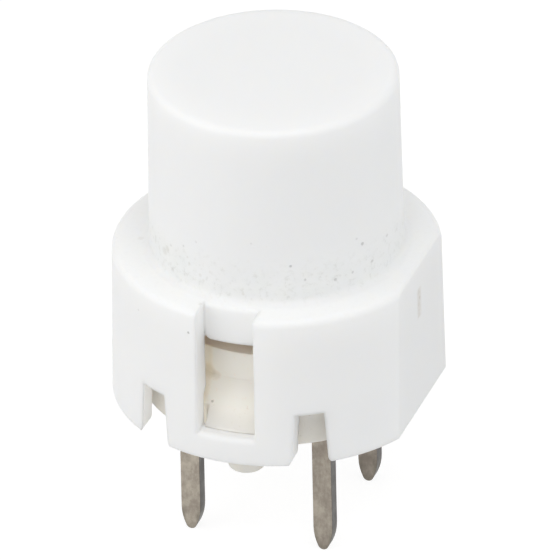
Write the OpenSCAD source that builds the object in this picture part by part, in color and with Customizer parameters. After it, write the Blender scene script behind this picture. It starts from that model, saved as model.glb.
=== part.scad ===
// Round push-key switch for a circuit board: a one-piece cap slides on a
// round base, a coil spring lifts it, and a sprung disc closes two contacts.
// Millimetres. Z = 0 is the board's top face, under the feet. -Y is the front,
// where the catch shows in its window. +X is the side with the flat.

/* [Cap] */
// Skirt diameter at its lower edge
skirt_low_d = 12.2; // [12:0.05:12.5]
// Skirt diameter at the ledge
skirt_top_d = 12; // [11.9:0.05:12.3]
// Distance from the axis to the flat side of the skirt
flat_x = 5.5; // [5.3:0.05:5.7]
// Thickness of the skirt behind the flat
flat_wall = 0.95; // [0.8:0.05:1.1]
// Height of the skirt's lower edge above the board
skirt_gap = 1.4; // [1.2:0.05:1.6]
// Height of the ledge around the button
ledge_z = 7.4; // [7:0.05:7.8]
// Thickness of the ledge
ledge_t = 1.47; // [1.3:0.01:1.6]
// Button diameter at the ledge
button_low_d = 9.3; // [9:0.02:9.6]
// Button diameter at the top
button_top_d = 9.14; // [8.8:0.02:9.4]
// Height of the button's top above the board
button_top_z = 14.5; // [13:0.02:16]
// Thickness of the button's wall and top
button_wall = 0.95; // [0.8:0.05:1.1]
// Radius of the button's top edge
button_edge_r = 0.25; // [0.15:0.05:0.5]
// Radius of the ledge's outer edge
ledge_edge_r = 0.25; // [0.15:0.05:0.4]

/* [Windows and notches] */
// Width of the catch window
window_w = 2.14; // [2:0.02:2.4]
// Height of the sill below the window
sill_h = 1.05; // [0.9:0.05:1.2]
// Rounding of the window's outer edges
window_edge_r = 0.18; // [0.1:0.02:0.25]
// Distance of each notch from the middle
notch_x = 2.97; // [2.8:0.01:3.1]
// Width of a notch at its top
notch_w = 0.98; // [0.8:0.02:1.1]
// Height of a notch
notch_h = 2.11; // [1.9:0.01:2.3]
// Width of a notch where its mouth starts to flare
notch_mouth_w = 1.2; // [1.1:0.02:1.3]
// Rounding of a notch's mouth
notch_flare_r = 0.4; // [0.3:0.05:0.5]

/* [Base] */
// Outer diameter of the base
base_d = 10.06; // [9.9:0.02:10.1]
// Clearance between base and skirt
guide_gap = 0.09; // [0.06:0.01:0.1]
// Height of the base's underside above the board
base_gap = 1.65; // [1.6:0.05:1.8]
// Thickness of the base's floor
floor_t = 1.35; // [1.2:0.05:1.4]
// Thickness of the base's wall
base_wall = 0.88; // [0.8:0.02:1]
// Reach of the catch from the axis
catch_r = 5.6; // [5.5:0.02:5.7]
// Width of the catch
catch_w = 1.94; // [1.8:0.02:1.94]
// Distance of the catch's back wall from the axis
catch_back = 4.25; // [4.2:0.01:4.3]
// Height where the catch's ramp starts
ramp_top_z = 3.9; // [3.8:0.02:4]
// Diameter of a foot
foot_d = 1.36; // [1.2:0.02:1.5]
// Distance of the feet from the axis
foot_r = 3.76; // [3.6:0.02:3.8]

/* [Terminals] */
// Spacing of the pins, both ways
pin_pitch = 5.08; // [5:0.01:5.1]
// Width of a pin
pin_w = 0.72; // [0.6:0.02:0.9]
// Thickness of the terminal sheet
sheet_t = 0.55; // [0.45:0.05:0.6]
// Length of the pins below the board's top face
pin_len = 3.68; // [3.2:0.02:4.5]

/* [Travel and contacts] */
// Travel of the cap
travel = 0.9; // [0.8:0.02:0.9]
// Gap between the open contacts
contact_gap = 0.5; // [0.4:0.02:0.5]
// Distance of the contacts from the axis
contact_y = 3.1; // [3.05:0.01:3.12]
// Turns of the return spring
return_turns = 9; // [7:1:12]
// Turns of the contact spring
contact_turns = 5; // [4:1:6]

/* [Hidden] */
$fn = 96;

far = 20;                          // reach of cutting shapes past the part
slack = 0.01;                      // play between faces that only touch

// Cap
ceiling_z = ledge_z - ledge_t;     // underside of the ledge
sill_z = skirt_gap + sill_h;       // top of the sill, under the catch
skirt_edge_r = 0.1;                // lower outer edge of the skirt
skirt_inner_edge_r = 0.1;          // lower inner edge of the skirt
foot_fillet_r = 0.3;               // where the button grows out of the ledge
hollow_top_z = button_top_z - button_wall;
hollow_low_r = button_low_d / 2 - button_wall;
hollow_top_r = button_top_d / 2 - button_wall;
hollow_corner_r = 0.5;
skirt_inner_r = base_d / 2 + guide_gap;
flat_inner_x = flat_x - flat_wall;
window_in_r = skirt_inner_r - 0.1; // the window is cut from here outwards
recess_r = 5.15;                   // face of the ledge above the window
recess_edge_r = 0.15;
head_corner_r = 0.3;               // rounded corners at the window's head
head_corner_depth = 0.65;
notch_in_y = 3.35;                 // the notches are cut from here outwards
notch_out_y = sqrt(pow(skirt_low_d / 2, 2) - pow(notch_x, 2)); // skirt's face there
notch_turn = 2;                    // how far the notches turn from facing straight out
notch_flare_a = 50;                // sweep of the rounding at a notch's mouth
relief_r = 5.37;                   // wider bore in the lower part of the skirt
relief_z = 3.65;                   // where it ends

// Sleeve that carries the contact disc, inside the button
sleeve_r = 1.95;
sleeve_bore_r = 1.35;
sleeve_end_z = 4.65;
sleeve_flat_y = 1.7;               // flats that keep the disc from turning
sleeve_flat_top_z = 6.05;
slit_w = 0.5;
slit_top_z = 6.4;
nose_r = 2.25;                     // snap noses under the disc
nose_w = 1;
nose_h = 0.4;
shoulder_r = 2.6;                  // thick part above the contact spring
shoulder_z = 8.2;
rib_t = 0.6;
rib_z = 8.6;
seat_rib_t = 0.5;                  // crossed ribs that the return spring lifts
seat_z = 9.8;

// Base
base_r = base_d / 2;
floor_z = base_gap + floor_t;
rim_z = ceiling_z - travel - 0.02;
base_inner_r = base_r - base_wall;
base_flat_x = flat_inner_x - guide_gap;
base_inner_flat_x = base_flat_x - base_wall;
base_edge_r = 0.1;
hook_z = sill_z + slack;           // flat underside of the catch
pocket_w = 2.9;                    // clear space around the catch
catch_back_t = 0.6;
catch_back_w = 4.2;
rail_top_z = 3.6;                  // rails moulded around the terminals
rail_half_l = 3.4;
rail_side_t = 0.3;
post_r = 0.9;
post_top_z = 6;
post_edge = 0.2;
core_r = 0.45;
core_top_z = 4.6;
foot_edge_r = 0.15;

// Terminals
pin_x = pin_pitch / 2;
sheet_in_y = pin_pitch / 2 - sheet_t / 2;
sheet_out_y = sheet_in_y + sheet_t;
bar_low_z = 2.3;
bar_corner_r = 0.3;
tip_r = 0.2;                       // rounding of the pin's very end
tip_side_r = 1.9;                  // arcs that narrow the pin's end
tip_len = tip_r + sqrt(pow(tip_side_r - tip_r, 2) - pow(tip_side_r - pin_w / 2, 2));
pad_w = 1.2;
pad_top_z = 4.25;
pad_end_y = contact_y + 0.45;

// Contact rivets
head_r = 0.32;
head_h = 0.2;
shank_r = 0.17;
tail_r = 0.26;
tail_h = 0.1;
fixed_top_z = pad_top_z + head_h;

// Contact disc
disc_t = 0.2;
disc_z = fixed_top_z + contact_gap + head_h + slack;
disc_r = 3.5;
disc_bore_r = 2.03;
disc_flat_y = 1.75;

// Springs
return_wire_r = 0.12;
return_mean_r = 1.12;
contact_wire_r = 0.1;
contact_mean_r = 2.3;
closed_turns = 1;                  // dead turn at each end of a spring
turn_steps = 20;
wire_sides = 8;

// Points of an arc about (cx, cy), from angle a0 to a1 in n steps
function arc(cx, cy, r, a0, a1, n = 8) =
    [for (i = [0:n]) let (a = a0 + (a1 - a0) * i / n) [cx + r * cos(a), cy + r * sin(a)]];

function mix(a, b, t) = a + (b - a) * t;

// Radius of the tapered skirt and button at a height
function skirt_r(z) = mix(skirt_low_d, skirt_top_d, (z - skirt_gap) / (ledge_z - skirt_gap)) / 2;
function button_r(z) =
    mix(button_low_d, button_top_d, (z - ledge_z) / (button_top_z - ledge_z)) / 2;

// A shape drawn in X and Z, given a thickness along Y about the middle
module upright(t) {
    rotate([90, 0, 0]) translate([0, 0, -t / 2]) linear_extrude(t) children();
}

module front_and_rear() {
    children();
    mirror([0, 1, 0]) children();
}

// ---- Cap ----

// Half section of the cap's outside
module cap_section() {
    polygon(concat(
        [[0, skirt_gap]],
        arc(skirt_r(skirt_gap + skirt_edge_r) - skirt_edge_r, skirt_gap + skirt_edge_r,
            skirt_edge_r, -90, 0),
        arc(skirt_r(ledge_z - ledge_edge_r) - ledge_edge_r, ledge_z - ledge_edge_r,
            ledge_edge_r, 0, 90),
        arc(button_r(ledge_z) + foot_fillet_r, ledge_z + foot_fillet_r,
            foot_fillet_r, 270, 180),
        arc(button_r(button_top_z - button_edge_r) - button_edge_r,
            button_top_z - button_edge_r, button_edge_r, 0, 90),
        [[0, button_top_z]]));
}

// Keeps the flat side of a round body, with rounded edges top and bottom
module flat_side(x, z0, z1, r) {
    upright(far)
        polygon(concat(
            [[-far, z0]],
            arc(x - r, z0 + r, r, -90, 0),
            arc(x - r, z1 - r, r, 0, 90),
            [[-far, z1]]));
}

module cap_outside() {
    intersection() {
        rotate_extrude() cap_section();
        union() {
            flat_side(flat_x, skirt_gap, ledge_z, skirt_edge_r);
            translate([0, 0, ledge_z - ledge_edge_r]) cylinder(r = flat_x - ledge_edge_r, h = far);
        }
    }
}

// Space inside the skirt that runs on the base
module skirt_space() {
    intersection() {
        rotate_extrude()
            polygon(concat(
                [[0, -far], [relief_r + skirt_inner_edge_r, -far]],
                arc(relief_r + skirt_inner_edge_r, skirt_gap + skirt_inner_edge_r,
                    skirt_inner_edge_r, 270, 180),
                [[relief_r, relief_z], [skirt_inner_r, relief_z + relief_r - skirt_inner_r],
                 [skirt_inner_r, ceiling_z], [0, ceiling_z]]));
        translate([-far, -far, -far]) cube([far + flat_inner_x, 2 * far, 2 * far]);
    }
}

module button_space() {
    rotate_extrude()
        polygon(concat(
            [[0, skirt_gap], [hollow_low_r, skirt_gap], [hollow_low_r, ledge_z]],
            arc(hollow_top_r - hollow_corner_r, hollow_top_z - hollow_corner_r,
                hollow_corner_r, 0, 90),
            [[0, hollow_top_z]]));
}

// Opening from the sill up through the ledge, rounded where it meets the outside
module window_cut() {
    outer_r = skirt_r(sill_z);
    half_w = window_w / 2;
    edge_y = outer_r - window_edge_r;
    intersection() {
        rotate_extrude()
            polygon(concat(
                [[recess_r, ceiling_z], [window_in_r, ceiling_z], [window_in_r, sill_z]],
                arc(edge_y, sill_z - window_edge_r, window_edge_r, 90, 0),
                [[far, sill_z - window_edge_r], [far, ledge_z + recess_edge_r],
                 [recess_r - recess_edge_r, ledge_z + recess_edge_r]],
                arc(recess_r - recess_edge_r, ledge_z - recess_edge_r, recess_edge_r, 90, 0)));
        linear_extrude(far)
            polygon(concat(
                [[half_w, 0]],
                arc(half_w + window_edge_r, -edge_y + window_edge_r / 2,
                    window_edge_r, 180, 270),
                [[half_w + window_edge_r, -far], [-half_w - window_edge_r, -far]],
                arc(-half_w - window_edge_r, -edge_y + window_edge_r / 2,
                    window_edge_r, -90, 0),
                [[-half_w, 0]]));
    }
}

// Both corners of the ledge's edge at the head of the window are rounded
module window_head_corners() {
    corner_x = window_w / 2 - head_corner_r;
    for (side = [0, 1])
        mirror([side, 0, 0])
            translate([0, head_corner_depth / 2 - recess_r - slack, 0])
                upright(head_corner_depth)
                    polygon(concat(
                        [[corner_x + head_corner_r, ceiling_z - slack],
                         [corner_x, ceiling_z - slack]],
                        arc(corner_x, ceiling_z + head_corner_r, head_corner_r, 270, 360)));
}

// Notch in the skirt's lower edge, flared at its mouth
module notch_cut() {
    low = skirt_gap + notch_flare_r * sin(notch_flare_a);
    curve = arc(notch_mouth_w / 2 + notch_flare_r, low, notch_flare_r, 180, 180 + notch_flare_a);
    end_x = curve[len(curve) - 1][0];
    translate([0, -far / 2, 0])
        upright(far)
            polygon(concat(
                [[notch_w / 2, skirt_gap + notch_h]], curve, [[end_x, 0], [-end_x, 0]],
                arc(-notch_mouth_w / 2 - notch_flare_r, low, notch_flare_r, -notch_flare_a, 0),
                [[-notch_w / 2, skirt_gap + notch_h]]));
}

module sleeve() {
    difference() {
        union() {
            difference() {
                translate([0, 0, sleeve_end_z])
                    cylinder(r = sleeve_r, h = hollow_top_z - sleeve_end_z + slack);
                for (side = [-1, 1])
                    translate([-far / 2, side > 0 ? sleeve_flat_y : -far - sleeve_flat_y, 0])
                        cube([far, far, sleeve_flat_top_z]);
            }
            translate([0, 0, shoulder_z])
                cylinder(r = shoulder_r, h = hollow_top_z - shoulder_z + slack);
            snap_noses();
        }
        translate([0, 0, sleeve_end_z - 1])
            cylinder(r = sleeve_bore_r, h = hollow_top_z - sleeve_end_z + 1);
        translate([-slit_w / 2, -far / 2, 0]) cube([slit_w, far, slit_top_z]);
    }
}

module snap_noses() {
    for (side = [0, 1])
        mirror([side, 0, 0])
            upright(nose_w)
                polygon([[sleeve_bore_r + 0.1, sleeve_end_z], [sleeve_r, sleeve_end_z],
                         [nose_r, disc_z - slack - nose_h / 3], [nose_r, disc_z - slack],
                         [sleeve_bore_r + 0.1, disc_z - slack]]);
}

// Crossed ribs in the sleeve's bore seat the return spring
module seat_ribs() {
    for (turn = [0, 90])
        rotate([0, 0, turn])
            translate([-seat_rib_t / 2, -sleeve_bore_r - 0.1, seat_z])
                cube([seat_rib_t, 2 * sleeve_bore_r + 0.2, hollow_top_z - seat_z + slack]);
}

module sleeve_braces() {
    for (turn = [45:90:315])
        rotate([0, 0, turn])
            translate([shoulder_r - 0.2, -rib_t / 2, rib_z])
                cube([hollow_low_r - shoulder_r + 0.3, rib_t, hollow_top_z - rib_z + slack]);
}

module cap() {
    color("white") {
        difference() {
            cap_outside();
            skirt_space();
            button_space();
            front_and_rear() {
                window_cut();
                window_head_corners();
                for (side = [-1, 1])
                    translate([side * notch_x, -notch_out_y, 0])
                        rotate([0, 0, side * notch_turn])
                            translate([0, notch_out_y - notch_in_y, 0]) notch_cut();
            }
        }
        sleeve();
        seat_ribs();
        sleeve_braces();
    }
}

// ---- Base ----

module base_tub() {
    intersection() {
        rotate_extrude()
            polygon(concat(
                [[0, base_gap]],
                arc(base_r - base_edge_r, base_gap + base_edge_r, base_edge_r, -90, 0, 4),
                arc(base_r - base_edge_r, rim_z - base_edge_r, base_edge_r, 0, 90, 4),
                [[base_inner_r, rim_z], [base_inner_r, floor_z], [0, floor_z]]));
        flat_side(base_flat_x, base_gap, rim_z, base_edge_r);
    }
    // wall behind the flat
    intersection() {
        translate([base_inner_flat_x, -far / 2, base_gap])
            cube([base_flat_x - base_inner_flat_x, far, rim_z - base_gap - base_edge_r]);
        cylinder(r = base_r - base_edge_r, h = far);
    }
}

// Catch: a ramp down to a hook that holds the sill
module catch_block() {
    intersection() {
        rotate_extrude()
            polygon([[base_inner_r, hook_z], [catch_r, hook_z], [catch_back, ramp_top_z],
                     [base_inner_r, ramp_top_z]]);
        translate([-catch_w / 2, -far, 0]) cube([catch_w, far, far]);
    }
}

// Space over the catch's ramp, which the ledge comes down into
module catch_pocket() {
    intersection() {
        rotate_extrude()
            polygon([[catch_back, rim_z + 1], [catch_back, ramp_top_z], [catch_r, hook_z],
                     [catch_r + 1, hook_z], [catch_r + 1, rim_z + 1]]);
        translate([-pocket_w / 2, -far, 0]) cube([pocket_w, far, far]);
    }
}

module catch_back_wall() {
    intersection() {
        difference() {
            cylinder(r = catch_back, h = rim_z);
            translate([0, 0, -1]) cylinder(r = catch_back - catch_back_t, h = far);
        }
        translate([-catch_back_w / 2, -far, base_gap + slack])
            cube([catch_back_w, far - catch_back / 2, far]);
    }
}

module terminal_rail() {
    translate([-rail_half_l, -sheet_out_y - rail_side_t, base_gap + slack])
        cube([2 * rail_half_l, sheet_t + 2 * rail_side_t, rail_top_z - base_gap - slack]);
}

module foot() {
    rotate_extrude($fn = 48)
        polygon(concat(
            [[0, 0]],
            arc(foot_d / 2 - foot_edge_r, foot_edge_r, foot_edge_r, -90, 0, 5),
            [[foot_d / 2, base_gap + slack], [0, base_gap + slack]]));
}

module spring_post() {
    rotate_extrude($fn = 48)
        polygon([[0, base_gap + slack], [post_r, base_gap + slack],
                 [post_r, post_top_z - post_edge], [post_r - post_edge, post_top_z],
                 [0, post_top_z]]);
}

module base() {
    color("ivory")
        difference() {
            union() {
                base_tub();
                spring_post();
                front_and_rear() {
                    catch_block();
                    catch_back_wall();
                    terminal_rail();
                }
                for (turn = [0:90:270])
                    rotate([0, 0, turn]) translate([foot_r, 0, 0]) foot();
            }
            front_and_rear() {
                catch_pocket();
                terminal_blank();
            }
            translate([0, 0, -1]) cylinder(r = core_r, h = core_top_z + 1, $fn = 32);
        }
}

// ---- Terminals ----

// Narrowed end of a pin: two side arcs and a small round nose
module pin_tip() {
    intersection() {
        translate([-pin_w / 2, -tip_len]) square([pin_w, tip_len + slack]);
        union() {
            difference() {
                intersection() {
                    translate([tip_side_r - pin_w / 2, 0]) circle(r = tip_side_r);
                    translate([pin_w / 2 - tip_side_r, 0]) circle(r = tip_side_r);
                }
                translate([-pin_w, -tip_len * 2]) square([2 * pin_w, tip_len * 2 - nose_cut_z()]);
            }
            translate([0, tip_r - tip_len]) circle(r = tip_r, $fn = 48);
        }
    }
}

// Height below the pin's shoulders where the side arcs meet the round nose
function nose_cut_z() = (tip_len - tip_r) * tip_side_r / (tip_side_r - tip_r);

// Outline of the stamped U: two pins joined by a bar, and a tab in the middle
module terminal_outline() {
    for (side = [-1, 1])
        translate([side * pin_x, 0]) {
            translate([-pin_w / 2, tip_len - pin_len])
                square([pin_w, bar_low_z + bar_corner_r + pin_len - tip_len + slack]);
            translate([0, tip_len - pin_len]) pin_tip();
        }
    bar_end = pin_x + pin_w / 2;
    translate([-bar_end + bar_corner_r, bar_low_z])
        square([2 * (bar_end - bar_corner_r), rail_top_z - bar_low_z]);
    translate([-bar_end, bar_low_z])
        square([2 * bar_end, rail_top_z - bar_low_z - bar_corner_r]);
    for (side = [-1, 1])
        translate([side * (bar_end - bar_corner_r), rail_top_z - bar_corner_r])
            circle(r = bar_corner_r, $fn = 48);
}

// Flat part of the front terminal
module terminal_blank() {
    translate([0, -pin_pitch / 2, 0]) upright(sheet_t) terminal_outline();
}

// Tab bent outwards to carry the fixed contact
module contact_tab() {
    bend_z = pad_top_z - sheet_t;
    translate([-pad_w / 2, -sheet_out_y, rail_top_z - slack])
        cube([pad_w, sheet_t, bend_z - rail_top_z + slack]);
    intersection() {
        translate([-pad_w / 2, -sheet_out_y, bend_z])
            rotate([0, 90, 0]) cylinder(r = sheet_t, h = pad_w, $fn = 48);
        translate([-pad_w / 2, -sheet_out_y, bend_z]) cube([pad_w, sheet_t, sheet_t]);
    }
    difference() {
        translate([-pad_w / 2, -pad_end_y, bend_z])
            cube([pad_w, pad_end_y - sheet_out_y, sheet_t]);
        translate([0, -contact_y, bend_z - 1]) cylinder(r = shank_r, h = sheet_t + 2, $fn = 32);
    }
}

module terminal_front() {
    color("silver") {
        terminal_blank();
        contact_tab();
    }
}

module terminal_rear() {
    mirror([0, 1, 0]) terminal_front();
}

// ---- Contacts ----

// Rivet through a sheet of thickness t: head above z = 0, tail below the sheet
module contact_rivet(t) {
    dome = 0.05;
    rotate_extrude($fn = 32)
        polygon([[0, -t - tail_h], [tail_r, -t - tail_h], [tail_r, -t], [shank_r, -t],
                 [shank_r, 0], [head_r, 0], [head_r, head_h - dome],
                 [head_r - dome, head_h], [0, head_h]]);
}

module fixed_contact_front() {
    color("gainsboro") translate([0, -contact_y, pad_top_z]) contact_rivet(sheet_t);
}

module fixed_contact_rear() {
    mirror([0, 1, 0]) fixed_contact_front();
}

module disc_contact_front() {
    color("gainsboro")
        translate([0, -contact_y, disc_z]) mirror([0, 0, 1]) contact_rivet(disc_t);
}

module disc_contact_rear() {
    mirror([0, 1, 0]) disc_contact_front();
}

module contact_disc() {
    color("goldenrod")
        translate([0, 0, disc_z])
            linear_extrude(disc_t)
                difference() {
                    circle(r = disc_r);
                    intersection() {
                        circle(r = disc_bore_r);
                        translate([-far / 2, -disc_flat_y]) square([far, 2 * disc_flat_y]);
                    }
                    for (side = [-1, 1])
                        translate([0, side * contact_y]) circle(r = shank_r, $fn = 32);
                }
}

// ---- Springs ----

// Height along a spring at turn t: closed turns at both ends, open ones between
function coil_z(t, turns, z0, z1, wire_r) =
    let (low = z0 + wire_r, high = z1 - wire_r, closed = closed_turns * 2 * wire_r)
    t < closed_turns ? low + 2 * wire_r * t
    : t > turns - closed_turns ? high - 2 * wire_r * (turns - t)
    : mix(low + closed, high - closed, (t - closed_turns) / (turns - 2 * closed_turns));

module coil_spring(mean_r, wire_r, turns, z0, z1) {
    steps = turns * turn_steps;
    rings = [for (i = [0:steps])
        let (a = 360 * i / turn_steps, z = coil_z(i / turn_steps, turns, z0, z1, wire_r))
        for (j = [0:wire_sides - 1])
            let (b = 360 * (j + 0.5) / wire_sides, r = mean_r + wire_r * cos(b))
            [r * cos(a), r * sin(a), z + wire_r * sin(b)]];
    sides = [for (i = [0:steps - 1], j = [0:wire_sides - 1])
        let (k = (j + 1) % wire_sides, low = i * wire_sides, high = low + wire_sides)
        [low + j, low + k, high + k, high + j]];
    first = [for (j = [wire_sides - 1:-1:0]) j];
    last = [for (j = [0:wire_sides - 1]) steps * wire_sides + j];
    polyhedron(rings, concat(sides, [first, last]), convexity = 8);
}

module contact_spring() {
    color("lightsteelblue")
        coil_spring(contact_mean_r, contact_wire_r, contact_turns,
                    disc_z + disc_t, shoulder_z);
}

module return_spring() {
    color("lightsteelblue")
        coil_spring(return_mean_r, return_wire_r, return_turns, floor_z, seat_z);
}

cap();
base();
terminal_front();
terminal_rear();
fixed_contact_front();
fixed_contact_rear();
contact_disc();
disc_contact_front();
disc_contact_rear();
contact_spring();
return_spring();
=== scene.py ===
import math
import bpy
from mathutils import Matrix, Vector


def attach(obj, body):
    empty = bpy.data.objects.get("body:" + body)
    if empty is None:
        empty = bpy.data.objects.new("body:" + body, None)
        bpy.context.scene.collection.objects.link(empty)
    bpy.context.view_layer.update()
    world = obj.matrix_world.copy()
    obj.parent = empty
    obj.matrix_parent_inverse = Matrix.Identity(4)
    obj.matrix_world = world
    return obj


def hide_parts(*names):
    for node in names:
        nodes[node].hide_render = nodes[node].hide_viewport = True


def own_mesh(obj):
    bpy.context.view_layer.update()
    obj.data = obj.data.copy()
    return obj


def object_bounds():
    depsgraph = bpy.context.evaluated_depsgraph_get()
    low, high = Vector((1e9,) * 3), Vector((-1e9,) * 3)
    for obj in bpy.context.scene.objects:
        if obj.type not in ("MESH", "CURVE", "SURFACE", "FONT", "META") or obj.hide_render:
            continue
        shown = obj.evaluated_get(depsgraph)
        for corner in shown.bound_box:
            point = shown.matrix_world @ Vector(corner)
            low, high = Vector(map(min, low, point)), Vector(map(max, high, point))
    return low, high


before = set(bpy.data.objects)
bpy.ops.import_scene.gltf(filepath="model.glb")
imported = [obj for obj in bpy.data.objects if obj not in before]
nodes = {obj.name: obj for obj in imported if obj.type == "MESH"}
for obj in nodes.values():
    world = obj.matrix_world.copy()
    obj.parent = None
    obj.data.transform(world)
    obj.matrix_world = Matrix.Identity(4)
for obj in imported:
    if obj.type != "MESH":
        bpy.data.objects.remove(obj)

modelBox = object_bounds()
mm = 0.001
print("frame loaded:", len(nodes), "nodes")


# ---- shader helpers

class Wire:  # a socket that can be used in sums
    def __init__(self, socket):
        self.socket = socket

    def maths(self, operation, *others):
        return addNode(self.socket.id_data, "ShaderNodeMath", {"operation": operation},
                       dict(enumerate((self,) + others)))

    def reversed(self, operation, other):
        return addNode(self.socket.id_data, "ShaderNodeMath", {"operation": operation},
                       {0: other, 1: self})

    def __add__(self, other): return self.maths("ADD", other)
    def __radd__(self, other): return self.maths("ADD", other)
    def __sub__(self, other): return self.maths("SUBTRACT", other)
    def __rsub__(self, other): return self.reversed("SUBTRACT", other)
    def __mul__(self, other): return self.maths("MULTIPLY", other)
    def __rmul__(self, other): return self.maths("MULTIPLY", other)
    def __abs__(self): return self.maths("ABSOLUTE")


def addNode(tree, kind, settings=None, values=None, out=0):
    node = tree.nodes.new(kind)
    for name, value in (settings or {}).items():
        setattr(node, name, value)
    for key, value in (values or {}).items():
        if isinstance(value, Wire):
            tree.links.new(value.socket, node.inputs[key])
        else:
            node.inputs[key].default_value = value
    return Wire(node.outputs[out])


def rgb(red, green, blue):
    return (red, green, blue, 1)


black = rgb(0, 0, 0)
markCore = 0.35    # part of a mark's radius that keeps its full depth
bevelSamples = 6


class Finish:  # one material while its nodes are laid
    def __init__(self, name):
        self.material = bpy.data.materials.new(name)
        self.material.use_nodes = True
        self.tree = self.material.node_tree
        self.tree.nodes.clear()
        place = self.add("ShaderNodeTexCoord", out="Object")
        self.place = self.add("ShaderNodeVectorMath", {"operation": "SCALE"},
                              {0: place, "Scale": 1 / mm})  # millimetres
        axes = self.tree.nodes.new("ShaderNodeSeparateXYZ")
        self.tree.links.new(self.place.socket, axes.inputs[0])
        self.x, self.y, self.z = (Wire(axes.outputs[i]) for i in range(3))

    def add(self, kind, settings=None, values=None, out=0):
        return addNode(self.tree, kind, settings, values, out)

    def noise(self, scale, detail=3, rough=0.5, stretch=None):
        place = self.place
        if stretch:
            place = self.add("ShaderNodeVectorMath", {"operation": "MULTIPLY"},
                             {0: place, 1: stretch})
        return self.add("ShaderNodeTexNoise", None,
                        {"Vector": place, "Scale": scale, "Detail": detail, "Roughness": rough})

    def step(self, value, low, high):  # 0 below low, 1 above high, smooth between
        return self.add("ShaderNodeMapRange", {"interpolation_type": "SMOOTHSTEP"},
                        {"Value": value, "From Min": low, "From Max": high})

    def fade(self, value, low, high):  # 1 below low, 0 above high
        return 1 - self.step(value, low, high)

    def ragged(self, amount, scale=9):  # object coordinates with a wobble, in mm
        wobble = self.add("ShaderNodeTexNoise", None,
                          {"Vector": self.place, "Scale": scale, "Detail": 2}, out="Color")
        wobble = self.add("ShaderNodeVectorMath", {"operation": "SUBTRACT"},
                          {0: wobble, 1: (0.5, 0.5, 0.5)})
        wobble = self.add("ShaderNodeVectorMath", {"operation": "SCALE"},
                          {0: wobble, "Scale": amount})
        return self.add("ShaderNodeVectorMath", {"operation": "ADD"},
                        {0: self.place, 1: wobble})

    def spots(self, marks, place):  # sum of small marks, each x, y, z, radius, depth
        total = None
        for x, y, z, radius, depth in marks:
            gap = self.add("ShaderNodeVectorMath", {"operation": "DISTANCE"},
                           {0: place, 1: (x, y, z)}, out="Value")
            mark = depth * self.fade(gap, radius * markCore, radius)
            total = mark if total is None else total + mark
        return total

    def facing(self):  # how far the surface faces along x
        return self.add("ShaderNodeSeparateXYZ", None,
                        {0: self.add("ShaderNodeNewGeometry", out="Normal")})

    def mix(self, amount, first, second):
        return self.add("ShaderNodeMix", {"data_type": "RGBA"},
                        {0: amount, 6: first, 7: second}, out=2)

    def bump(self, height, strength, distance, soft=0):  # soft rounds the edges, in mm
        values = {"Height": height, "Strength": strength, "Distance": distance}
        if soft:
            values["Normal"] = self.add("ShaderNodeBevel", {"samples": bevelSamples},
                                        {"Radius": soft * mm})
        return self.add("ShaderNodeBump", None, values)

    def done(self, **values):
        shader = self.tree.nodes.new("ShaderNodeBsdfPrincipled")
        for name, value in values.items():
            socket = shader.inputs[name.replace("_", " ")]
            if isinstance(value, Wire):
                self.tree.links.new(value.socket, socket)
            else:
                socket.default_value = value
        out = self.tree.nodes.new("ShaderNodeOutputMaterial")
        self.tree.links.new(shader.outputs[0], out.inputs[0])
        return self.material




# ---- camera, floor and light

view = {
    "turn": 19.548,          # degrees round from the front
    "rise": 30.577,
    "roll": -1.222,
    "distance": 946.09,      # mm
    "sensor": 36,            # mm
    "lens": 26033 / 560 * 36,
    "aim": (0, 0, 6),
    "offset": (-0.092, 0.275),
}


def placeCamera():
    turn, rise, roll = (math.radians(view[k]) for k in ("turn", "rise", "roll"))
    back = Vector((math.sin(turn) * math.cos(rise), -math.cos(turn) * math.cos(rise),
                   math.sin(rise)))
    flatRight = Vector((math.cos(turn), math.sin(turn), 0))
    flatUp = back.cross(flatRight)
    right = math.cos(roll) * flatRight + math.sin(roll) * flatUp
    up = math.cos(roll) * flatUp - math.sin(roll) * flatRight
    place = (Vector(view["aim"]) + view["distance"] * back
             - view["offset"][0] * right - view["offset"][1] * up) * mm
    camera = bpy.data.objects.new("camera", bpy.data.cameras.new("camera"))
    bpy.context.collection.objects.link(camera)
    stance = Matrix((right, up, back)).transposed().to_4x4()
    camera.matrix_world = Matrix.Translation(place) @ stance
    camera.data.lens = view["lens"]
    camera.data.sensor_width = view["sensor"]
    camera.data.clip_start = 0.01
    camera.data.clip_end = 20
    bpy.context.scene.camera = camera


light = {
    "aim": (0, 0, 5),        # mm
    "world": 0.63,
    "key": {"from": (-67, -57, 58), "size": 90, "power": 0.0250, "tint": (1, 1, 0.99)},
    "fill": {"from": (92, 6, 34), "size": 90, "power": 0.0110, "tint": (0.94, 0.98, 1)},
    "top": {"from": (28, -42, 100), "size": 80, "power": 0.0235, "tint": (1, 1, 1)},
}


def addLamp(name, data):
    lamp = bpy.data.objects.new(name, bpy.data.lights.new(name, "AREA"))
    bpy.context.collection.objects.link(lamp)
    lamp.location = Vector(data["from"]) * mm
    aim = Vector(light["aim"]) * mm - lamp.location
    lamp.rotation_euler = aim.to_track_quat("-Z", "Y").to_euler()
    lamp.data.shape = "DISK"
    lamp.data.size = data["size"] * mm
    lamp.data.energy = data["power"]
    lamp.data.color = data["tint"]


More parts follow.
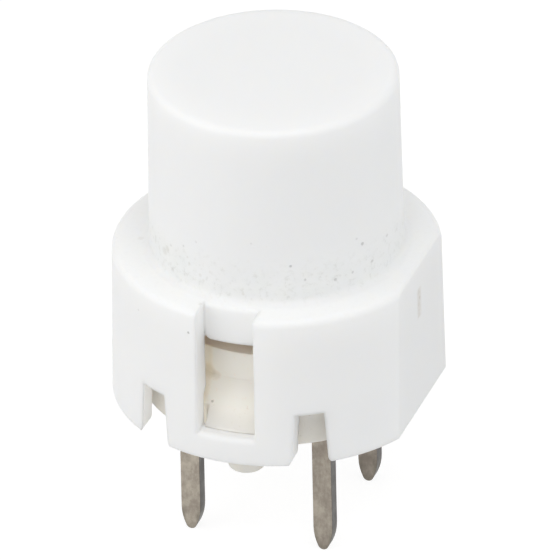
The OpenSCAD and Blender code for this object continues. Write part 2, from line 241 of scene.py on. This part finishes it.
def makeWorld():
    world = bpy.data.worlds.new("studio")
    bpy.context.scene.world = world
    world.use_nodes = True
    tree = world.node_tree
    tree.nodes.clear()
    path = tree.nodes.new("ShaderNodeLightPath").outputs
    seen = Wire(path["Is Camera Ray"]).maths("MAXIMUM", Wire(path["Is Glossy Ray"])) \
        .maths("MAXIMUM", Wire(path["Is Transmission Ray"]))
    strength = light["world"] + seen * (1 - light["world"])
    sky = addNode(tree, "ShaderNodeBackground", None,
                  {"Color": rgb(1, 1, 1), "Strength": strength})
    tree.links.new(sky.socket, tree.nodes.new("ShaderNodeOutputWorld").inputs[0])


paper = {
    "size": 3,               # m
    "tones": (0.2, 0.21),
    "glow": 0.88,            # what the camera sees besides the shadow
    "bounce": 0.8,           # what the object's light sees
}


def makeFloor(level):
    bpy.ops.mesh.primitive_plane_add(size=paper["size"], location=(0, 0, level * mm))
    floor = bpy.context.object
    floor.name = "floor"
    finish = Finish("palePaper")
    dark, pale = (rgb(tone, tone, tone) for tone in paper["tones"])
    tone = finish.mix(finish.noise(0.02, 2), dark, pale)
    sheet = finish.add("ShaderNodeBsdfDiffuse", None, {"Color": tone})
    glow = finish.add("ShaderNodeEmission", None,
                      {"Color": rgb(1, 1, 1), "Strength": paper["glow"]})
    path = finish.tree.nodes.new("ShaderNodeLightPath").outputs
    seen = Wire(path["Is Camera Ray"]).maths("MAXIMUM", Wire(path["Is Glossy Ray"]))
    both = finish.add("ShaderNodeAddShader", None, {0: sheet, 1: glow})
    plain = finish.add("ShaderNodeBsdfDiffuse", None, {"Color": rgb(*[paper["bounce"]] * 3)})
    shader = finish.add("ShaderNodeMixShader", None, {0: seen, 1: plain, 2: both})
    out = finish.tree.nodes.new("ShaderNodeOutputMaterial")
    finish.tree.links.new(shader.socket, out.inputs[0])
    floor.data.materials.append(finish.material)


placeCamera()
makeWorld()
for name in ("key", "fill", "top"):
    addLamp(name, light[name])
makeFloor(modelBox[0][2] / mm)
bpy.context.scene.view_settings.view_transform = "Standard"
print("camera, light and floor set")


# ---- finishes

# the marks are x, y, z, radius in mm and depth from 0 to 1
cap = {
    "white": (rgb(0.950, 0.958, 0.953), rgb(0.960, 0.966, 0.960)),
    "filmHeight": 8.0,       # middle of the dirty band around the button, mm
    "filmReach": (0.4, 1.5),
    "filmDepth": 0.18,
    "mottleDepth": 0.33,
    "ledge": (7.42, 7.65),   # the film is thin on the ledge, below this
    "ledgeShare": 0.3,
    "dustDepth": 0.14,
    "edgeRadius": 0.18,      # mm, rounded in the shading only
    # painted light: the emission colour and strengths below brighten the near notches and sills
    "paintedLightTone": rgb(1, 0.97, 0.92),
    "notchPaintedLight": 0.085,
    "sillPaintedLight": 0.09,
    "dark": [(2.00, -4.20, 8.97, 0.08, 0.38), (2.46, -3.96, 8.34, 0.08, 0.28),
             (3.37, -3.22, 8.10, 0.09, 0.28), (4.08, -2.21, 9.16, 0.10, 0.36),
             (4.30, -1.80, 8.24, 0.09, 0.25), (3.84, -2.64, 8.16, 0.08, 0.25),
             (4.57, -0.87, 8.84, 0.10, 0.20), (3.95, -2.44, 9.47, 0.08, 0.15),
             (-2.76, -3.75, 8.77, 0.08, 0.16), (-2.14, -4.12, 9.07, 0.08, 0.16),
             (-1.57, -4.37, 9.47, 0.08, 0.14), (0.64, -4.59, 9.90, 0.07, 0.12),
             (-1.40, -5.87, 6.52, 0.08, 0.45), (-3.70, -4.76, 6.46, 0.07, 0.15)],
    "tan": [(-3.11, -3.46, 8.32, 0.22, 0.16), (-2.94, -3.60, 8.51, 0.18, 0.16),
            (-2.70, -3.80, 7.78, 0.12, 0.15), (-1.88, -4.26, 8.42, 0.10, 0.15),
            (-1.96, -4.22, 8.69, 0.08, 0.15), (-1.40, -4.45, 8.14, 0.10, 0.15),
            (-1.27, -4.49, 7.97, 0.08, 0.15), (0.31, -4.65, 7.76, 0.09, 0.16),
            (-4.74, -1.39, 7.4, 0.16, 0.12), (-3.72, -2.70, 7.4, 0.13, 0.12),
            (-1.14, -5.18, 7.4, 0.12, 0.18), (3.98, 2.38, 7.4, 0.13, 0.2),
            (4.17, 1.93, 7.4, 0.13, 0.2), (4.41, 1.26, 7.4, 0.13, 0.2),
            (4.53, 0.81, 7.4, 0.12, 0.2), (5.50, -0.12, 5.98, 0.09, 0.3)],
    "streak": {"y": -0.17, "width": 0.34, "from": (5.3, 5.4),
               "low": (5.1, 5.3), "high": (6.3, 6.5), "depth": 0.5},
}


def capPlastic():
    finish = Finish("whiteMoulding")
    place = finish.ragged(0.07)
    white = finish.mix(finish.noise(0.5, 3), *cap["white"])
    # grey-green film and mottling where the button meets the ledge
    film = finish.fade(abs(finish.z - cap["filmHeight"]), *cap["filmReach"]) \
        * finish.noise(0.9, 4, 0.6)
    share = cap["ledgeShare"]
    film = film * (share + (1 - share) * finish.step(finish.z, *cap["ledge"]))
    white = finish.mix(cap["filmDepth"] * film, white, rgb(0.55, 0.58, 0.50))
    mottle = finish.step(finish.noise(4.6, 4, 0.7), 0.5, 0.7)
    white = finish.mix(cap["mottleDepth"] * mottle * film, white, rgb(0.36, 0.35, 0.30))
    white = finish.mix(finish.spots(cap["tan"], place), white, rgb(0.42, 0.37, 0.27))
    # brown streak down the flat
    streak = cap["streak"]
    wander = abs(finish.y - streak["y"] + 0.05 * finish.noise(2.5, 2))
    line = finish.fade(wander, streak["width"] * 0.15, streak["width"]) \
        * finish.step(finish.x, *streak["from"]) \
        * finish.step(finish.z, *streak["low"]) * finish.fade(finish.z, *streak["high"]) \
        * streak["depth"]
    white = finish.mix(line * finish.noise(6, 3), white, rgb(0.45, 0.36, 0.24))
    white = finish.mix(finish.spots(cap["dark"], place), white, rgb(0.10, 0.09, 0.08))
    dust = finish.step(finish.noise(3.2, 6, 0.75), 0.71, 0.76)
    white = finish.mix(cap["dustDepth"] * dust, white, rgb(0.45, 0.42, 0.36))
    grain = finish.noise(14, 4, 0.6)
    roughness = 0.42 + 0.08 * finish.noise(3, 3)
    # painted light: emission on the side of the near notches, standing in for light coming
    # through the plastic
    inNotch = finish.step(finish.facing(), 0.8, 0.95) \
        * finish.step(finish.x * -1, 3.2, 3.3) * finish.fade(finish.z, 3.6, 4)
    # and painted light on the top of each sill, beside the catch
    aside = abs(finish.y)
    onSill = finish.step(aside, 5.2, 5.3) * finish.fade(aside, 5.6, 5.8) \
        * finish.fade(abs(finish.x), 1.05, 1.1) \
        * finish.step(finish.z, 2.40, 2.44) * finish.fade(finish.z, 2.46, 2.5)
    paintedLight = cap["notchPaintedLight"] * inNotch + cap["sillPaintedLight"] * onSill
    return finish.done(Base_Color=white, Roughness=roughness, IOR=1.48,
                       Emission_Color=finish.mix(paintedLight, black, cap["paintedLightTone"]),
                       Emission_Strength=1.0,
                       Subsurface_Weight=0.65, Subsurface_Radius=(1, 0.94, 0.84),
                       Subsurface_Scale=0.9 * mm,
                       Normal=finish.bump(grain, 0.12, 0.02 * mm, cap["edgeRadius"]))


base = {
    "cream": (rgb(0.960, 0.926, 0.855), rgb(0.970, 0.944, 0.888)),
    "cornerTanDepth": 0.6,       # tan tint in the corners beside the catches
    "speckDepth": 0.28,
    "lowShade": 0.11,        # darker towards the board
    "edgeRadius": 0.06,      # mm
    # painted light: emission colours and strengths that brighten the wall, corners, notch,
    # hooks and rim
    "paintedLightTone": rgb(1, 0.94, 0.84),
    "rimPaintedLight": rgb(0.08, 0.05, 0.028),
    "wallPaintedLight": 0.07,
    "cornerPaintedLight": 0.3,
    "notchPaintedLight": 0.08,
    "hookPaintedLight": 0.09,
    "tan": [(-1.25, -4.06, 3.95, 0.36, 0.35), (-0.95, -4.14, 3.85, 0.26, 0.25)],
    "dark": [(-0.88, -4.86, 3.18, 0.08, 0.45), (-0.62, -4.60, 3.6, 0.06, 0.2),
             (0.72, -5.25, 2.62, 0.06, 0.25), (-0.2, -4.95, 3.1, 0.05, 0.15)],
}


def basePlastic():
    finish = Finish("creamMoulding")
    place = finish.ragged(0.12, 6)
    across, along = abs(finish.x), abs(finish.y)
    cream = finish.mix(finish.noise(0.8, 3), *base["cream"])
    cream = finish.mix(finish.spots(base["tan"], place), cream, rgb(0.50, 0.42, 0.28))
    # a tan tint, darker than the cream, in the corners beside the catches
    corner = finish.step(across, 1.0, 1.25) * finish.step(along, 3.9, 4.1) \
        * finish.fade(across, 1.5, 1.7) * (0.4 + 0.6 * finish.noise(3, 3))
    cream = finish.mix(base["cornerTanDepth"] * corner, cream, rgb(0.90, 0.79, 0.58))
    cream = finish.mix(finish.spots(base["dark"], place), cream, rgb(0.16, 0.13, 0.10))
    specks = finish.step(finish.noise(5, 5, 0.7), 0.6, 0.72)
    cream = finish.mix(base["speckDepth"] * specks, cream, rgb(0.52, 0.43, 0.30))
    grain = finish.noise(12, 4, 0.6)
    roughness = 0.45 + 0.08 * finish.noise(3, 3)
    low = finish.fade(finish.z, 2.6, 3.3)
    cream = finish.mix(base["lowShade"] * low, cream, black)
    # painted light: emission on the wall behind the white cap, standing in for light coming
    # through the cap, stronger in the low corners, the near notch and the hooks
    wall = finish.step(finish.x * finish.x + finish.y * finish.y, 15, 17) \
        * finish.step(finish.z, 1.7, 1.85)
    paintedLight = base["wallPaintedLight"] * (1 - low) * (1 - 0.7 * corner)
    paintedLight = paintedLight + base["cornerPaintedLight"] * low * finish.step(across, 1.06, 1.12) \
        * finish.fade(across, 1.6, 2)
    paintedLight = paintedLight + base["notchPaintedLight"] * finish.step(finish.x * -1, 2.3, 2.8)
    paintedLight = paintedLight + base["hookPaintedLight"] * finish.step(along, 5.5, 5.58)
    # painted light: the top of the rim glows a dim brown, to lighten the shaded strip under the
    # cap
    rim = finish.step(finish.z, 4.9, 5.0)
    glow = finish.mix(paintedLight * wall, black, base["paintedLightTone"])
    return finish.done(Base_Color=cream, Roughness=roughness, IOR=1.48,
                       Emission_Color=finish.mix(rim, glow, base["rimPaintedLight"]),
                       Emission_Strength=1.0,
                       Subsurface_Weight=0.25, Subsurface_Radius=(1, 0.85, 0.6),
                       Subsurface_Scale=0.5 * mm,
                       Normal=finish.bump(grain, 0.1, 0.02 * mm, base["edgeRadius"]))


terminal = {
    "grey": (rgb(0.34, 0.295, 0.245), rgb(0.56, 0.505, 0.42)),
    "toneFallDepth": (0.12, 0.36),
    "cutTone": rgb(0.07, 0.065, 0.06),
    "tipTone": rgb(0.13, 0.12, 0.09),
    "pinAt": 2.54,           # distance of the pins' middle from the axis, mm
    "edgeRadius": 0.05,      # mm
}


def tinPlate():
    finish = Finish("dullTin")
    patches = finish.noise(1.4, 4, 0.6)
    fine = finish.noise(9, 5, 0.7, (1, 1, 0.5))
    tone = finish.step(0.6 * patches + 0.4 * fine, 0.36, 0.66)
    grey = finish.mix(tone, *terminal["grey"])
    # the tone falls from one corner of the part to the other, darker towards the rear right
    toneFall = finish.step(finish.x + finish.y, -5, 5)
    least, more = terminal["toneFallDepth"]
    grey = finish.mix(least + more * toneFall, grey, rgb(0.12, 0.10, 0.085))
    # the cut edges of the sheet show darker than its faces
    cut = finish.step(abs(finish.facing()), 0.6, 0.9)
    grey = finish.mix(0.95 * cut, grey, terminal["cutTone"])
    # the tip is darker as well, along its sides and at its end
    depth = finish.z * -1
    aside = abs(abs(finish.x) - terminal["pinAt"])
    tip = 0.4 * finish.step(aside, 0.14, 0.28) * finish.step(depth, 2.5, 3.2)
    tip = tip + 0.35 * finish.step(depth, 3.35, 3.62)
    grey = finish.mix(tip, grey, terminal["tipTone"])
    return finish.done(Base_Color=grey, Roughness=0.5 - 0.14 * tone, Metallic=0.55,
                       Normal=finish.bump(fine, 0.25, 0.01 * mm, terminal["edgeRadius"]))


def contactSilver():
    finish = Finish("contactSilver")
    cloud = finish.noise(5, 3)
    tone = finish.mix(cloud, rgb(0.62, 0.6, 0.56), rgb(0.75, 0.73, 0.7))
    return finish.done(Base_Color=tone, Roughness=0.3 + 0.1 * cloud, Metallic=1.0,
                       Normal=finish.bump(finish.noise(20, 2), 0.1, 0.005 * mm))


def springBronze():
    finish = Finish("springBronze")
    cloud = finish.noise(1.5, 4)
    tone = finish.mix(cloud, rgb(0.78, 0.58, 0.36), rgb(0.86, 0.68, 0.46))
    lines = finish.noise(4, 2, 0.5, (1, 9, 1))
    return finish.done(Base_Color=tone, Roughness=0.42 + 0.12 * lines, Metallic=0.45,
                       Normal=finish.bump(lines, 0.1, 0.005 * mm))


def springSteel():
    finish = Finish("springSteel")
    cloud = finish.noise(4, 3)
    tone = finish.mix(cloud, rgb(0.5, 0.5, 0.5), rgb(0.62, 0.62, 0.63))
    return finish.done(Base_Color=tone, Roughness=0.3 + 0.1 * cloud, Metallic=1.0,
                       Normal=finish.bump(finish.noise(25, 2), 0.1, 0.004 * mm))


# ---- springs, round wire with a dead turn at each end

coil = {"sides": 14, "steps": 40, "smooth": 50}  # around the wire, a turn, degrees

springs = {
    "returnSpring": {
        "node": "return_spring", "body": "base", "joint": "cap_slide", "travel": 0.9,
        "meanRadius": 1.12, "wire": 0.12, "low": 3.0, "high": 9.8, "turns": 9, "fixedEnd": 3.0},
    "contactSpring": {
        "node": "contact_spring", "body": "cap", "joint": "disc_slide", "travel": 0.4,
        "meanRadius": 2.3, "wire": 0.1, "low": 5.37, "high": 8.2, "turns": 5, "fixedEnd": 8.2},
}


def deselectAll():
    if bpy.context.mode != "OBJECT":
        bpy.ops.object.mode_set(mode="OBJECT")
    bpy.ops.object.select_all(action="DESELECT")


def addCoil(data, start, pitch, turns):
    bpy.ops.mesh.primitive_circle_add(
        vertices=coil["sides"], radius=data["wire"] * mm, rotation=(math.pi / 2, 0, 0),
        location=(data["meanRadius"] * mm, 0, start * mm))
    part = bpy.context.object
    bpy.ops.object.transform_apply(location=True, rotation=True, scale=True)
    screw = part.modifiers.new("turns", "SCREW")
    screw.axis = "Z"
    screw.screw_offset = pitch * mm
    screw.iterations = turns
    screw.steps = screw.render_steps = coil["steps"]
    screw.use_merge_vertices = False
    bpy.ops.object.modifier_apply(modifier="turns")
    return part


def makeSpring(name, data):
    wire = data["wire"]
    low, high = data["low"] + wire, data["high"] - wire
    closed = 2 * wire  # a dead turn at each end
    openTurns = data["turns"] - 2
    deselectAll()
    parts = [addCoil(data, low, closed, 1),
             addCoil(data, low + closed, (high - low - 2 * closed) / openTurns, openTurns),
             addCoil(data, high - closed, closed, 1)]
    deselectAll()
    for part in parts:
        part.select_set(True)
    bpy.context.view_layer.objects.active = parts[0]
    bpy.ops.object.join()
    spring = bpy.context.object
    spring.name = name
    bpy.ops.object.mode_set(mode="EDIT")
    bpy.ops.mesh.select_all(action="SELECT")
    bpy.ops.mesh.remove_doubles(threshold=0.002 * mm)
    bpy.ops.mesh.select_all(action="DESELECT")
    bpy.ops.mesh.select_non_manifold()
    bpy.ops.mesh.edge_face_add()
    bpy.ops.mesh.select_all(action="SELECT")
    bpy.ops.mesh.normals_make_consistent(inside=False)
    bpy.ops.object.mode_set(mode="OBJECT")
    bpy.ops.object.shade_smooth_by_angle(angle=math.radians(coil["smooth"]))
    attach(spring, data["body"])
    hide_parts(data["node"])
    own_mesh(spring)
    return spring


springPieces = [makeSpring(name, data) for name, data in springs.items()]
print("springs wound")

finishes = {
    "cap": capPlastic(),
    "base": basePlastic(),
    "terminal_front": tinPlate(),
    "contact_disc": springBronze(),
    "fixed_contact_front": contactSilver(),
    "return_spring": springSteel(),
}
finishes["terminal_rear"] = finishes["terminal_front"]
for name in ("fixed_contact_rear", "disc_contact_front", "disc_contact_rear"):
    finishes[name] = finishes["fixed_contact_front"]
finishes["contact_spring"] = finishes["return_spring"]

for spring in springPieces:
    spring.data.materials.clear()
    spring.data.materials.append(finishes["return_spring"])
for name, material in finishes.items():
    for slot in nodes[name].material_slots:
        slot.material = material
print("finishes laid on", len(finishes), "nodes")
